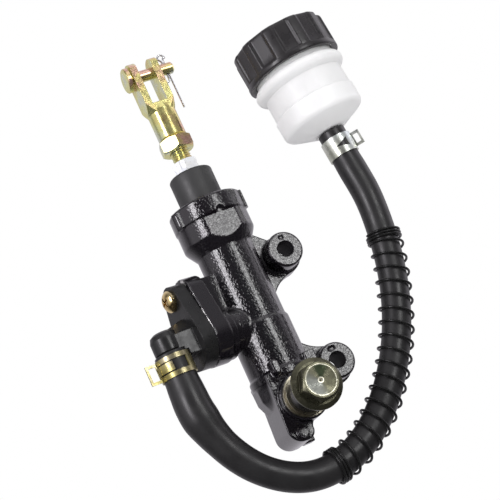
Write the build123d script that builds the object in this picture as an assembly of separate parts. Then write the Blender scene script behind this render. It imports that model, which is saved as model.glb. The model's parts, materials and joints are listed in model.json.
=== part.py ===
from build123d import *
import math
import os

# Rear brake master cylinder with a remote reservoir, in millimetres.
# Origin: middle of the two mounting holes, on the mounting face. +Z runs along the bore towards
# the pedal clevis, -Y faces the front (banjo bolt side), +X points to the mounting ears.
# Sub-parts are modelled about the bore axis and moved to the origin on export.

# --- placement -------------------------------------------------------------------------------
BORE_X = -23.0           # bore axis, measured from the line of mounting holes
BORE_Y = -11.0           # bore axis, measured from the mounting face
FIT = 0.05               # running and assembly gap

# --- casting ---------------------------------------------------------------------------------
BORE_R = 7.0
BORE_BOTTOM = -26.0
TUBE_R = 11.9
TUBE_LOWER_R = 12.6
TUBE_STEP_Z = 0.0
END_BAND_R = 13.4
END_BAND_TOP = -20.0
END_BAND_BOTTOM = -24.5
COLLAR_R = 15.6
COLLAR_TOP = 54.5
COLLAR_CHAMFER_Z = 38.0
COLLAR_CONE_Z = 33.2
BAND_BOTTOM = 46.6       # lower edge of the raised rim band
WALL_R = 15.2            # collar wall under the band
PANEL_Y = 13.5           # flat panel on the collar, distance from the axis
LUG_ANGLE = 69.0         # grip lugs either side of the front
COUNTERBORE_R = 9.3
COUNTERBORE_Z = 40.6
CIRCLIP_GROOVE_R = 10.3
CIRCLIP_Z = 42.25
CIRCLIP_T = 1.1

# --- mounting ears ---------------------------------------------------------------------------
HOLE_PITCH = 50.0
HOLE_R = 3.25
EAR_BOSS_R = 7.1
EAR_WEB_R = 8.4
EAR_FRONT = -3.6         # front face of the ear bosses
WEB_FRONT = 4.5
MOUNT_BACK = -BORE_Y

# --- outlet block ----------------------------------------------------------------------------
BANJO_X = 0.5
BANJO_Z = -34.4
BLOCK_FRONT = -11.0
BLOCK_BACK = 9.0
BOSS_R = 9.7
BOSS_FRONT = -14.4
BANJO_HOLE_R = 5.0
BANJO_HOLE_END = -2.0

# --- inlet -----------------------------------------------------------------------------------
INLET_TURN = 14.0        # the inlet points to -X, turned this far to the front
INLET_Z = 1.0
NECK_R = 9.1
NECK_STEP_R = 10.6
FLANGE_R = 11.2
FLANGE_IN = 19.0         # distances from the bore axis along the inlet
FLANGE_FACE = 26.2
SCREW_UP = 18.9
NIPPLE_OUT = 41.9
NECK_BORE_R = 6.0
NECK_FLOOR = 9.0
PORT_OFFSET = 3.7

# --- push rod train --------------------------------------------------------------------------
BALL_Z = 38.0
BALL_R = 5.0
ROD_NECK_R = 3.5
ROD_HEX_AF = 10.0
ROD_HEX_Z = (66.5, 75.0)
THREAD_R = 4.0
THREAD_PITCH = 1.25
THREAD_DEPTH = 0.55
THREAD_END = 97.8
NUT_AF = 13.0
NUT_Z = (79.8, 85.6)
CLEVIS_BOTTOM = 85.7
CLEVIS_R = 6.0
FORK_HALF_X = 6.2
FORK_HALF_Y = 5.3
SLOT_HALF = 3.3
SLOT_Z = 101.9
PIN_Z = 116.6
PIN_R = 2.5
TIP_R = 6.2
COTTER_X = 9.9
COTTER_WIRE_R = 0.42

# --- hose and reservoir ----------------------------------------------------------------------
HOSE_R = 5.9
HOSE_END_R = 6.6         # where the lower end is stretched over the nipple
HOSE_BORE_R = 3.7
NIPPLE_R = 3.6
CLAMP_T = 0.6
CLAMP_W = 8.4
RES_X = 58.4             # middle of the cap's lower edge
RES_Z = 94.2
RES_TILT = 4.8           # reservoir axis leans towards -X
CAP_R = 21.0
CAP_H = 16.4
CAP_RIBS = 11
CAP_TURN = -120.5        # one grip rib faces the front
CAP_SKIRT = 2.4
NECK_TOP = 10.6
NECK_OUTER_R = 17.8
HOSE_TAPER_Z = -15.0
HOSE_BEND_Z = -20.0
HOSE_STRAIGHT_END = -49.0
UPPER_CLAMP_AT = -38.6
HOSE_TOP = -30.8         # along the reservoir axis
COIL_R = 6.85
COIL_WIRE_R = 0.52


# --- shape helpers ---------------------------------------------------------------------------
def cyl(radius, low, high, x=0.0, y=0.0):
    """A cylinder along Z from low to high."""
    height = high - low
    return Pos(x, y, low + height / 2) * Cylinder(radius, height)


def cone(radius_low, radius_high, low, high):
    """A truncated cone along Z."""
    height = high - low
    return Pos(0, 0, low + height / 2) * Cone(radius_low, radius_high, height)


def front_cyl(radius, front, back, x, z):
    """A cylinder along Y from front to back."""
    depth = back - front
    return Pos(x, front + depth / 2, z) * Rot(90, 0, 0) * Cylinder(radius, depth)


def block(x, y, z):
    """A box from three (low, high) pairs."""
    size = [pair[1] - pair[0] for pair in (x, y, z)]
    middle = [(pair[1] + pair[0]) / 2 for pair in (x, y, z)]
    return Pos(*middle) * Box(*size)


def turned(points):
    """A solid of revolution about Z from (radius, height) points."""
    outline = Polyline([(r, 0, z) for r, z in points], close=True)
    return revolve(make_face(outline), Axis.Z)


def slab(edges, front, back):
    """A closed outline drawn in the XZ plane, made solid from front to back along Y."""
    return extrude(Pos(0, front, 0) * make_face(edges), amount=back - front, dir=(0, 1, 0))


def hexagon(across_flats, low, high, turn=0.0):
    """A hexagonal prism whose corners are turned off at both ends."""
    corner = across_flats / math.sqrt(3)
    height = high - low
    prism = extrude(Pos(0, 0, low) * Rot(0, 0, turn) * RegularPolygon(corner, 6), amount=height)
    drop = 0.9 * (corner - across_flats / 2)
    barrel = turned([
        (0, low), (across_flats / 2 * 0.97, low), (corner, low + drop),
        (corner, high - drop), (across_flats / 2 * 0.97, high), (0, high),
    ])
    return prism & barrel


def egg(radius, lobe_radius, up):
    """The outline of a round flange with one screw lobe above it."""
    tilt = math.asin((radius - lobe_radius) / up)
    side = [(math.cos(tilt) * r, math.sin(tilt) * r + y) for r, y in ((radius, 0), (lobe_radius, up))]
    mirrored = [(-x, y) for x, y in reversed(side)]
    lower = ThreePointArc(mirrored[1], (0, -radius), side[0])
    upper = ThreePointArc(side[1], (0, up + lobe_radius), mirrored[0])
    return make_face([lower, Line(side[0], side[1]), upper, Line(mirrored[0], mirrored[1])])


def from_inlet(shape):
    """Moves a shape drawn about the inlet: x to the front, y up the bore, z outwards."""
    c = math.cos(math.radians(INLET_TURN))
    s = math.sin(math.radians(INLET_TURN))
    return Plane(origin=(0, 0, INLET_Z), x_dir=(s, -c, 0), z_dir=(-c, -s, 0)).location * shape


def hose_y():
    """The plane that the hose and the reservoir hang in."""
    return -NIPPLE_OUT * math.sin(math.radians(INLET_TURN))


def hose_x():
    return -NIPPLE_OUT * math.cos(math.radians(INLET_TURN))


def from_reservoir(shape):
    """Moves a shape drawn about the reservoir axis, whose zero is the cap's lower edge."""
    return Pos(RES_X, hose_y(), RES_Z) * Rot(0, -RES_TILT, 0) * shape


# --- casting ---------------------------------------------------------------------------------
def tube():
    return turned([
        (0, END_BAND_BOTTOM - 3), (9.5, END_BAND_BOTTOM - 3), (12.2, END_BAND_BOTTOM),
        (END_BAND_R, END_BAND_BOTTOM + 0.6), (END_BAND_R, END_BAND_TOP - 1),
        (TUBE_LOWER_R, END_BAND_TOP), (TUBE_LOWER_R, TUBE_STEP_Z - 0.6),
        (TUBE_R, TUBE_STEP_Z + 0.6), (TUBE_R, COLLAR_CONE_Z),
        (WALL_R - 0.5, COLLAR_CHAMFER_Z - 0.4), (WALL_R, COLLAR_CHAMFER_Z + 0.6),
        (WALL_R, BAND_BOTTOM - 0.2), (COLLAR_R, BAND_BOTTOM + 0.2), (COLLAR_R, COLLAR_TOP - 0.8),
        (COLLAR_R - 0.8, COLLAR_TOP), (0, COLLAR_TOP),
    ])


def collar_panel():
    """The cut that leaves a flat panel with a small notch under the rim band."""
    panel = block((-COLLAR_R, COLLAR_R), (-COLLAR_R - 2, -PANEL_Y), (COLLAR_CONE_Z, BAND_BOTTOM))
    notch = front_cyl(1.6, -COLLAR_R - 2, -PANEL_Y, 0.8, BAND_BOTTOM)
    return panel + notch


def collar_lugs():
    """Two ribbed grip lugs on the rim band."""
    lugs = []
    for angle in (-LUG_ANGLE, LUG_ANGLE):
        lug = block((-2.3, 2.3), (-COLLAR_R - 0.7, -COLLAR_R + 1.5), (BAND_BOTTOM - 0.2, COLLAR_TOP - 0.6))
        for x in (-0.8, 0.8):
            lug -= block((x - 0.35, x + 0.35), (-COLLAR_R - 1, -COLLAR_R - 0.2),
                         (BAND_BOTTOM + 0.7, COLLAR_TOP - 1.6))
        lugs.append(Rot(0, 0, angle) * lug)
    return lugs


def ear_web(side):
    """The thin plate behind one ear boss, with a concave edge running onto the tube."""
    x = -BORE_X
    z = side * HOLE_PITCH / 2
    inner = side * 3.5
    outer = side * 38.2 if side > 0 else -40.0
    shoulder = (x - 2.6, z + side * 8.0)
    ring = front_cyl(EAR_WEB_R, WEB_FRONT, MOUNT_BACK, x, z)
    foot = (TUBE_R - 1.0, 0, inner)
    belly = (16.9, 0, side * 13.5)
    start = (x + 0.6, 0, z - side * EAR_WEB_R)
    outline = [
        ThreePointArc(foot, belly, start),
        Line(start, (x, 0, z)),
        Line((x, 0, z), (shoulder[0], 0, shoulder[1])),
        Line((shoulder[0], 0, shoulder[1]), (TUBE_R + 2.6, 0, outer)),
        Line((TUBE_R + 2.6, 0, outer), (4, 0, outer)),
        Line((4, 0, outer), (4, 0, inner)),
        Line((4, 0, inner), foot),
    ]
    return ring + slab(outline, WEB_FRONT, MOUNT_BACK)


def ear_boss(side):
    x = -BORE_X
    z = side * HOLE_PITCH / 2
    boss = front_cyl(EAR_BOSS_R + 0.5, EAR_FRONT + 0.8, MOUNT_BACK, x, z)
    face = Pos(x, EAR_FRONT + 0.4, z) * Rot(90, 0, 0) * Cone(EAR_BOSS_R + 0.5, EAR_BOSS_R, 0.8)
    mark = front_cyl(1.0, EAR_FRONT - 1, EAR_FRONT + 0.3, x + 0.3, z + 5.1)
    if side < 0:
        mark += front_cyl(1.0, EAR_FRONT - 1, EAR_FRONT + 0.3, x - 0.9, z + 5.0)
    return boss + face - mark


def gusset():
    """The web that spreads back from the block's left side to the tube."""
    heights = [-22.5, -29.5, -34.5]
    wide = [-12.6, -12.4, -10.2]
    narrow = [-10.2, -10.0, -9.9]
    faces = []
    for y, edge in ((-8.0, narrow), (-2.0, wide)):
        corners = [(x, y, z) for x, z in zip(edge, heights)]
        corners += [(-8, y, heights[-1]), (-8, y, heights[0])]
        faces.append(make_face(Polyline(*corners, close=True)))
    shape = loft(faces)
    outline = [
        Line((-12.6, 0, -22.5), (-12.4, 0, -29.5)), Line((-12.4, 0, -29.5), (-10.2, 0, -34.5)),
        Line((-10.2, 0, -34.5), (-8, 0, -34.5)), Line((-8, 0, -34.5), (-8, 0, -22.5)),
        Line((-8, 0, -22.5), (-12.6, 0, -22.5)),
    ]
    return shape + slab(outline, -2.0, 6.0)


def outlet_block():
    """The block that carries the banjo boss, with its stop pegs."""
    left = -10.8
    bottom = -50.3
    outline = [
        Line((-9.5, 0, -21), (left, 0, -44)),
        ThreePointArc((left, 0, -44), (-9.2, 0, -48.6), (-5, 0, bottom)),
        Line((-5, 0, bottom), (-3.2, 0, bottom)),
        ThreePointArc((-3.2, 0, bottom), (-1.2, 0, -49), (-0.4, 0, -46)),
        Line((-0.4, 0, -46), (1.5, 0, -43)),
        Line((1.5, 0, -43), (10.1, 0, -33)),
        Line((10.1, 0, -33), (10.4, 0, -21)),
        Line((10.4, 0, -21), (-9.5, 0, -21)),
    ]
    shape = slab(outline, BLOCK_FRONT, BLOCK_BACK)
    shape += front_cyl(BOSS_R, BOSS_FRONT, BLOCK_BACK - 1, BANJO_X, BANJO_Z)
    shape += gusset()
    shape += block((-2.0, 2.2), (1.0, 6.0), (-50.4, -42.0))
    return shape


def stop_pegs():
    """Pegs that keep the hose fitting from turning."""
    upper = front_cyl(1.5, -15.2, -9, -5.6, -18.6) + front_cyl(1.5, -15.2, -9, -5.4, -21.4)
    upper += block((-7.0, -4.0), (-15.2, -9), (-21.4, -18.6))
    lower = front_cyl(2.1, -14.2, -9, -5.6, -47.2)
    arm = block((8, 12.8), (-11.5, MOUNT_BACK), (-22.5, -18.2))
    web = block((0, 12.8), (-3.0, MOUNT_BACK - 1), (-23.5, -17.6))
    return [upper, lower, arm, web]


def inlet_neck():
    neck = cyl(NECK_R, 0, FLANGE_IN) + cyl(NECK_STEP_R, FLANGE_IN - 3.2, FLANGE_IN)
    plate = extrude(Pos(0, 0, FLANGE_IN) * egg(FLANGE_R, 7.2, SCREW_UP), amount=FLANGE_FACE - FLANGE_IN)
    rib = block((-3.2, 3.2), (0, SCREW_UP + 5.0), (4, FLANGE_IN + 1))
    return from_inlet(neck + plate + rib)


def inlet_drilling():
    hole = cyl(NECK_BORE_R, NECK_FLOOR, FLANGE_FACE + 1)
    hole += cyl(1.25, 4, NECK_FLOOR + 1, y=PORT_OFFSET)
    hole += cyl(0.5, 4, NECK_FLOOR + 1, y=-PORT_OFFSET)
    hole += cyl(2.05, FLANGE_IN - 4, FLANGE_FACE + 1, y=SCREW_UP)
    return from_inlet(hole)


def cylinder_body():
    shape = tube() - collar_panel()
    for lug in collar_lugs():
        shape += lug
    for side in (1, -1):
        shape += ear_web(side)
    shape += outlet_block()
    for peg in stop_pegs():
        shape += peg
    shape += inlet_neck()
    for side in (1, -1):
        shape += ear_boss(side)
        shape -= front_cyl(HOLE_R, EAR_FRONT - 1, MOUNT_BACK + 1, -BORE_X, side * HOLE_PITCH / 2)
    shape -= block((-30, 60), (MOUNT_BACK, MOUNT_BACK + 20), (-60, COLLAR_CONE_Z - 1.2))
    shape -= cyl(BORE_R, BORE_BOTTOM, COLLAR_TOP + 1)
    shape -= cyl(COUNTERBORE_R, COUNTERBORE_Z, COLLAR_TOP + 1)
    shape -= cyl(CIRCLIP_GROOVE_R, CIRCLIP_Z - FIT, CIRCLIP_Z + CIRCLIP_T + FIT)
    shape -= front_cyl(BANJO_HOLE_R, BOSS_FRONT - 1, BANJO_HOLE_END, BANJO_X, BANJO_Z)
    shape -= cyl(1.25, BANJO_Z + 3, BORE_BOTTOM + 1)
    shape -= inlet_drilling()
    return shape


# --- parts in the bore -----------------------------------------------------------------------
def piston():
    land = BORE_R - FIT
    shape = turned([
        (0, -4.5), (2.2, -4.5), (2.2, 2.0), (land, 2.0), (land, 3.6), (4.5, 4.2), (4.5, 27.5),
        (land, 28.0), (land, 30.0), (5.2, 30.0), (5.2, 32.0), (land, 32.0),
        (land, COUNTERBORE_Z - 0.2), (0, COUNTERBORE_Z - 0.2),
    ])
    shape -= Pos(0, 0, BALL_Z) * Sphere(BALL_R + FIT)
    return shape - cyl(BALL_R + FIT, BALL_Z, COUNTERBORE_Z)


def primary_cup():
    outer = BORE_R - 0.03
    return turned([(2.25, -0.2), (4.2, -0.2), (5.6, -1.3), (outer, -1.3), (outer, 0.8), (6.5, 1.95),
                   (2.25, 1.95)])


def secondary_cup():
    outer = BORE_R - 0.03
    return turned([(5.25, 30.1), (5.9, 30.1), (outer, 30.3), (outer, 31.2), (6.5, 31.9), (5.25, 31.9)])


def spring_seat():
    return turned([(2.25, -2.6), (5.9, -2.6), (5.9, -2.0), (3.9, -2.0), (3.9, -0.3), (2.25, -0.3)])


def return_spring():
    wire = 0.8
    low = BORE_BOTTOM + wire + FIT
    high = -2.65 - wire
    turns = 7
    coil = Helix(pitch=(high - low) / turns, height=high - low, radius=5.0)
    section = Plane(origin=coil @ 0, z_dir=coil % 0) * Circle(wire)
    return Pos(0, 0, low) * sweep(section, path=coil, is_frenet=True)


def retaining_washer():
    disc = cyl(COUNTERBORE_R - 0.1, COUNTERBORE_Z, CIRCLIP_Z - FIT)
    return disc - cyl(4.5, COUNTERBORE_Z - 1, CIRCLIP_Z + 1)


def circlip():
    """An internal circlip with two drilled ends at the front."""
    low = CIRCLIP_Z
    high = CIRCLIP_Z + CIRCLIP_T
    ring = cyl(CIRCLIP_GROOVE_R - 0.15, low, high) - cyl(8.6, low - 1, high + 1)
    ring -= block((-1.1, 1.1), (-12, -5), (low - 1, high + 1))
    for x in (-2.4, 2.4):
        ring += cyl(1.6, low, high, x, -7.7)
        ring -= cyl(0.7, low - 1, high + 1, x, -7.5)
    return ring - block((-1.1, 1.1), (-12, -5), (low - 1, high + 1))


def dust_boot():
    """A cylindrical rubber boot with a rounded mouth and an inner wiping lip."""
    base = CIRCLIP_Z + CIRCLIP_T + 0.8
    top = 68.9
    outer = COUNTERBORE_R - 0.1
    mouth = 8.4
    profile = make_face([
        Line((outer, 0, base), (outer, 0, top - 1.5)),
        ThreePointArc((outer, 0, top - 1.5), (outer - 0.12, 0, top - 0.5), (outer - 0.6, 0, top)),
        Line((outer - 0.6, 0, top), (mouth, 0, top - 0.2)),
        Line((mouth, 0, top - 0.2), (mouth, 0, base + 4.4)),
        Line((mouth, 0, base + 4.4), (4.8, 0, base + 1.8)),
        Line((4.8, 0, base + 1.8), (4.8, 0, base)),
        Line((4.8, 0, base), (outer, 0, base)),
    ])
    return revolve(profile, Axis.Z)


# --- push rod, lock nut, clevis --------------------------------------------------------------
def rod_thread():
    """Ring grooves at the thread's pitch, from the hex to the rod's end."""
    low = ROD_HEX_Z[1] + 0.4
    root = THREAD_R - THREAD_DEPTH
    points = [(0, ROD_HEX_Z[1] - 1), (root, ROD_HEX_Z[1] - 1), (root, low)]
    for i in range(int((THREAD_END - low) / THREAD_PITCH)):
        crest = low + (i + 0.5) * THREAD_PITCH
        points += [(THREAD_R, crest - 0.08), (THREAD_R, crest + 0.08), (root, low + (i + 1) * THREAD_PITCH)]
    return turned(points + [(root, THREAD_END), (0, THREAD_END)])


def push_rod():
    shape = Pos(0, 0, BALL_Z) * Sphere(BALL_R)
    shape += cyl(ROD_NECK_R, BALL_Z, ROD_HEX_Z[0] + 1)
    shape += hexagon(ROD_HEX_AF, *ROD_HEX_Z, turn=12)
    return shape + rod_thread()


def lock_nut():
    return hexagon(NUT_AF, *NUT_Z, turn=22) - cyl(THREAD_R + FIT, NUT_Z[0] - 1, NUT_Z[1] + 1)


def clevis():
    """A fork with flat sides, round tips and a turned shank."""
    top = PIN_Z + TIP_R
    shank = turned([
        (0, CLEVIS_BOTTOM), (CLEVIS_R - 0.7, CLEVIS_BOTTOM), (CLEVIS_R, CLEVIS_BOTTOM + 0.7),
        (CLEVIS_R, SLOT_Z - 3), (CLEVIS_R - 0.9, SLOT_Z), (0, SLOT_Z),
    ])
    fork = block((-FORK_HALF_X, FORK_HALF_X), (-TIP_R, TIP_R), (SLOT_Z - 4.5, PIN_Z))
    fork += Pos(0, 0, PIN_Z) * Rot(0, 90, 0) * Cylinder(TIP_R, 2 * FORK_HALF_X)
    fork &= block((-FORK_HALF_X, FORK_HALF_X), (-FORK_HALF_Y, FORK_HALF_Y), (SLOT_Z - 4.5, top))
    run_out = cyl(20, SLOT_Z - 5, SLOT_Z + 2) - cone(CLEVIS_R - 0.5, CLEVIS_R + 2.9, SLOT_Z - 5, SLOT_Z + 2)
    fork -= run_out
    shape = shank + fork
    shape -= block((-SLOT_HALF, SLOT_HALF), (-9, 9), (SLOT_Z, top + 1))
    shape -= Pos(0, 0, PIN_Z) * Rot(0, 90, 0) * Cylinder(PIN_R + FIT, 40)
    return shape - cyl(THREAD_R + FIT, CLEVIS_BOTTOM - 1, SLOT_Z + 1)


def clevis_pin():
    """A headed pin along X, cross-drilled for the cotter."""
    head = (-FORK_HALF_X - 2.6, -FORK_HALF_X - 0.8)
    end = 12.9
    shape = turned([
        (0, head[0]), (4.9, head[0]), (5.3, head[0] + 0.4), (5.3, head[1]), (PIN_R, head[1]),
        (PIN_R, end - 0.6), (PIN_R - 0.6, end), (0, end),
    ])
    shape = Pos(0, 0, PIN_Z) * Rot(0, 90, 0) * shape
    return shape - cyl(0.95, PIN_Z - 5, PIN_Z + 5, x=COTTER_X)


def cotter_pin():
    """One wire: a curled short leg, up the hole, round the eye and down the long straight leg."""
    left = COTTER_X - 0.46
    right = COTTER_X + 0.46
    curl_r = 1.3
    curl_x = left - curl_r
    curl_z = PIN_Z - 4.6
    eye_z = PIN_Z + 5.2
    path = Wire([
        ThreePointArc((curl_x, 0, curl_z + curl_r), (curl_x - curl_r * 0.71, 0, curl_z - curl_r * 0.71),
                      (curl_x + 0.01, 0, curl_z - curl_r)),
        ThreePointArc((curl_x + 0.01, 0, curl_z - curl_r),
                      (curl_x + curl_r * 0.71, 0, curl_z - curl_r * 0.71), (left, 0, curl_z)),
        Line((left, 0, curl_z), (left, 0, PIN_Z + 3)),
        Spline((left, 0, PIN_Z + 3), (left - 1.1, 0, eye_z), (COTTER_X, 0, eye_z + 1.7),
               (right + 1.1, 0, eye_z), (right, 0, PIN_Z + 3), tangents=((0, 0, 1), (0, 0, -1))),
        Line((right, 0, PIN_Z + 3), (right, 0, PIN_Z - 18.7)),
    ])
    section = Plane(origin=path @ 0, z_dir=path % 0) * Circle(COTTER_WIRE_R)
    return sweep(section, path=path)


# --- outlet fastener -------------------------------------------------------------------------
WASHER_BACK = BOSS_FRONT - FIT
SPACER_BACK = WASHER_BACK - 3.2
FLANGE_BACK = -30.9
FLANGE_FRONT = -32.6
HEAD_FRONT = -38.0
DISH_R = 6.0
DISH_DEEP = 0.5


def about_banjo(shape):
    """Moves a shape drawn along Z, with z measured to the front, onto the banjo axis."""
    return Pos(BANJO_X, 0, BANJO_Z) * Rot(90, 0, 0) * shape


def banjo_bolt():
    flange = turned([
        (0, -FLANGE_BACK), (10.1, -FLANGE_BACK), (10.1, -FLANGE_BACK + 0.9), (8.3, -FLANGE_FRONT),
        (0, -FLANGE_FRONT),
    ])
    head = hexagon(14.0, -FLANGE_FRONT - 1, -HEAD_FRONT, turn=8)
    shank = cyl(BANJO_HOLE_R - FIT, -BANJO_HOLE_END + 1, -FLANGE_BACK + 0.5)
    shape = flange + head + shank
    shape -= cyl(2.4, -BANJO_HOLE_END, 22)
    shape -= Pos(0, 0, 20) * Rot(90, 0, 0) * Cylinder(1.5, 20)
    shape -= cone(0, DISH_R, -HEAD_FRONT - DISH_DEEP, -HEAD_FRONT)
    shape -= cone(0, 1.1, -HEAD_FRONT - DISH_DEEP - 0.9, -HEAD_FRONT)
    return about_banjo(shape)


def banjo_washers():
    inner = cyl(9.0, -WASHER_BACK, -WASHER_BACK + 1.6) - cyl(5.1, -WASHER_BACK - 1, -WASHER_BACK + 3)
    outer = cyl(8.3, -WASHER_BACK + 1.65, -SPACER_BACK) - cyl(5.1, -WASHER_BACK, -SPACER_BACK + 1)
    return [about_banjo(inner), about_banjo(outer)]


def banjo_spacer():
    low = -SPACER_BACK + FIT
    high = -FLANGE_BACK - FIT
    return about_banjo(cyl(7.4, low, high) - cyl(5.2, low - 1, high + 1))


# --- inlet elbow -----------------------------------------------------------------------------
ELBOW_BACK = FLANGE_FACE + FIT
ELBOW_FACE = FLANGE_FACE + 6.1
HOSE_END_Z = 0.2
NIPPLE_END = -14.0
LOWER_CLAMP_Z = -5.4
SPIGOT_END = 15.5
SEAL_AT = 20.5


def down_inlet(shape):
    """Moves a shape drawn about the nipple, with true z, into inlet coordinates."""
    return Pos(0, -INLET_Z, NIPPLE_OUT) * Rot(-90, 0, 0) * shape


def inlet_elbow():
    """Flange, sealed spigot, boxy arm and the turned-down nipple."""
    plate = extrude(Pos(0, 0, ELBOW_BACK) * egg(10.9, 5.7, SCREW_UP), amount=ELBOW_FACE - ELBOW_BACK)
    spigot = cyl(NECK_BORE_R - FIT, SPIGOT_END, ELBOW_BACK + 1)
    arm_end = Polyline([(-5.4, -3.6), (5.4, -3.6), (5.4, 4.8), (1.5, 8.2), (-5.4, 8.2)], close=True)
    arm_root = Polyline([(-7.0, -4.6), (7.0, -4.6), (6.6, 5.0), (1.8, 10.6), (-7.0, 10.6)], close=True)
    arm = loft([
        Pos(0, 0, ELBOW_FACE - 0.5) * make_face(arm_root),
        Pos(0, 0, NIPPLE_OUT - 1.5) * make_face(arm_end),
    ])
    end = HOSE_END_Z + FIT
    clamp_top = LOWER_CLAMP_Z + CLAMP_W / 2 + 0.2
    over_hose = cyl(HOSE_END_R + 0.2, -30, end) + cyl(HOSE_END_R + CLAMP_T + 0.7, -30, clamp_top)
    arm -= down_inlet(over_hose)
    barrel = turned([
        (0, end), (5.2, end), (5.8, end + 0.6), (5.8, 6.2), (5.1, 8.1), (3.6, 9.0), (0, 9.3),
    ])
    nipple = cyl(NIPPLE_R, NIPPLE_END + 1, end + 1)
    nipple += cone(NIPPLE_R - 0.6, NIPPLE_R, NIPPLE_END, NIPPLE_END + 1)
    shape = plate + spigot + arm + down_inlet(barrel + nipple)
    shape -= cyl(3.0, SPIGOT_END - 1, NIPPLE_OUT)
    shape -= down_inlet(cyl(2.4, NIPPLE_END - 1, INLET_Z + 1))
    shape -= cyl(2.1, ELBOW_BACK - 1, ELBOW_FACE + 1, y=SCREW_UP)
    groove = cyl(NECK_BORE_R + 1, SEAL_AT - 1.05, SEAL_AT + 1.05) - cyl(4.2, SEAL_AT - 2, SEAL_AT + 2)
    return from_inlet(shape - groove)


def inlet_seal():
    return from_inlet(Pos(0, 0, SEAL_AT) * Torus(5.1, 0.86))


def inlet_screw():
    """A pan-head cross-recess screw."""
    head = ELBOW_FACE + FIT
    top = head + 2.5
    profile = make_face([
        Line((0, 0, FLANGE_IN - 2), (2.0, 0, FLANGE_IN - 2)),
        Line((2.0, 0, FLANGE_IN - 2), (2.0, 0, head)),
        Line((2.0, 0, head), (4.4, 0, head)),
        Line((4.4, 0, head), (4.4, 0, head + 1.0)),
        ThreePointArc((4.4, 0, head + 1.0), (3.4, 0, head + 2.1), (0, 0, top)),
        Line((0, 0, top), (0, 0, FLANGE_IN - 2)),
    ])
    shape = revolve(profile, Axis.Z)
    for turn in (20, 110):
        slot = Rot(0, 0, turn) * block((-2.3, 2.3), (-0.45, 0.45), (head + 1.1, top + 1))
        shape -= slot
    return from_inlet(Pos(0, SCREW_UP, 0) * shape)


# --- hose ------------------------------------------------------------------------------------
def reservoir_point(along):
    """A point on the reservoir axis, in the hose's plane, as (x, z)."""
    tilt = math.radians(RES_TILT)
    return (RES_X - along * math.sin(tilt), RES_Z + along * math.cos(tilt))


def hose_bend():
    """From the end of the lower straight, under the cylinder, to the straight at the reservoir."""
    y = hose_y()
    top_x, top_z = reservoir_point(HOSE_STRAIGHT_END)
    tilt = math.radians(RES_TILT)
    x = hose_x()
    return Spline(
        (x, y, HOSE_BEND_Z), (-37.8, y, -35), (-27, y, -53), (-8, y, -63.6), (14, y, -59.9),
        (33.2, y, -45.2), (48.6, y, -24), (58.1, y, -1), (62.6, y, 22), (63.3, y, 35),
        (top_x, y, top_z),
        tangents=((0, 0, -1), (-math.sin(tilt), 0, math.cos(tilt))),
    )


def hose():
    bend = hose_bend()
    start = Plane(origin=bend @ 0, z_dir=bend % 0)
    taper = cone(HOSE_R, HOSE_END_R, HOSE_BEND_Z, HOSE_TAPER_Z)
    lower = Pos(hose_x(), hose_y(), 0) * (taper + cyl(HOSE_END_R, HOSE_TAPER_Z, HOSE_END_Z))
    lower_bore = Pos(hose_x(), hose_y(), 0) * cyl(HOSE_BORE_R, HOSE_BEND_Z - 0.01, HOSE_END_Z + 1)
    upper = from_reservoir(cyl(HOSE_R, HOSE_STRAIGHT_END, HOSE_TOP))
    upper_bore = from_reservoir(cyl(HOSE_BORE_R, HOSE_STRAIGHT_END - 0.01, HOSE_TOP + 1))
    outer = lower + sweep(start * Circle(HOSE_R), path=bend) + upper
    return outer - sweep(start * Circle(HOSE_BORE_R), path=bend) - lower_bore - upper_bore


def hose_guard_spring():
    """A wire coil around the hose: closed turns at both ends, open turns between."""
    path = hose_bend()
    start = 0.328
    end = 0.852
    closed_turns = 3.0
    open_turns = 17.0
    length = path.length
    closed_share = closed_turns * (2 * COIL_WIRE_R + 0.15) / length
    points = []
    steps = int((2 * closed_turns + open_turns) * 10)
    for i in range(steps + 1):
        turn = i / 10
        if turn < closed_turns:
            at = start + closed_share * turn / closed_turns
        elif turn < closed_turns + open_turns:
            share = (turn - closed_turns) / open_turns
            at = start + closed_share + (end - start - 2 * closed_share) * share
        else:
            at = end - closed_share * (2 * closed_turns + open_turns - turn) / closed_turns
        centre = path @ at
        tangent = path % at
        across = tangent.cross(Vector(0, 1, 0))
        angle = 2 * math.pi * turn
        offset = across * math.cos(angle) + Vector(0, 1, 0) * math.sin(angle)
        points.append(centre + offset * COIL_R)
    coil = Spline(*points)
    section = Plane(origin=coil @ 0, z_dir=coil % 0) * Circle(COIL_WIRE_R)
    return sweep(section, path=coil, is_frenet=True)


def clamp_band(inner):
    """A thin ring about Z, half its width above zero."""
    half = CLAMP_W / 2
    return cyl(inner + CLAMP_T, -half, half) - cyl(inner, -half - 1, half + 1)


def clamp_tang(inner, half, reach):
    """A squeeze tang: an open rectangle that stands out along X."""
    low = inner + CLAMP_T / 2
    high = inner + CLAMP_T + reach
    tang = block((low, high), (-0.35, 0.35), (-half, half))
    return tang - block((inner + CLAMP_T + 0.6, high - 0.9), (-1, 1), (1.1 - half, half - 1.1))


def sector(start, end, radius, half):
    """A wedge about Z between two angles, for cutting a window in a band."""
    points = [(0, 0)] + [
        (radius * math.cos(math.radians(a)), radius * math.sin(math.radians(a)))
        for a in (start, (start + end) / 2, end)
    ]
    return extrude(Pos(0, 0, -half) * make_face(Polyline(points, close=True)), amount=2 * half)


def lower_hose_clamp():
    """A band with a long window, through which its own tongue runs to a wide squeeze tang."""
    inner = HOSE_END_R + FIT
    tongue = clamp_band(inner + 0.35) & sector(-172, -108, 30, 1.75)
    shape = clamp_band(inner) - sector(-168, -58, 30, 2.3)
    shape += tongue + Rot(0, 0, 187) * clamp_tang(inner, CLAMP_W / 2 - 0.3, 4.6)
    shape += Rot(0, 0, 100) * clamp_tang(inner, 2.2, 3.6)
    return Pos(hose_x(), hose_y(), LOWER_CLAMP_Z) * shape


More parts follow.
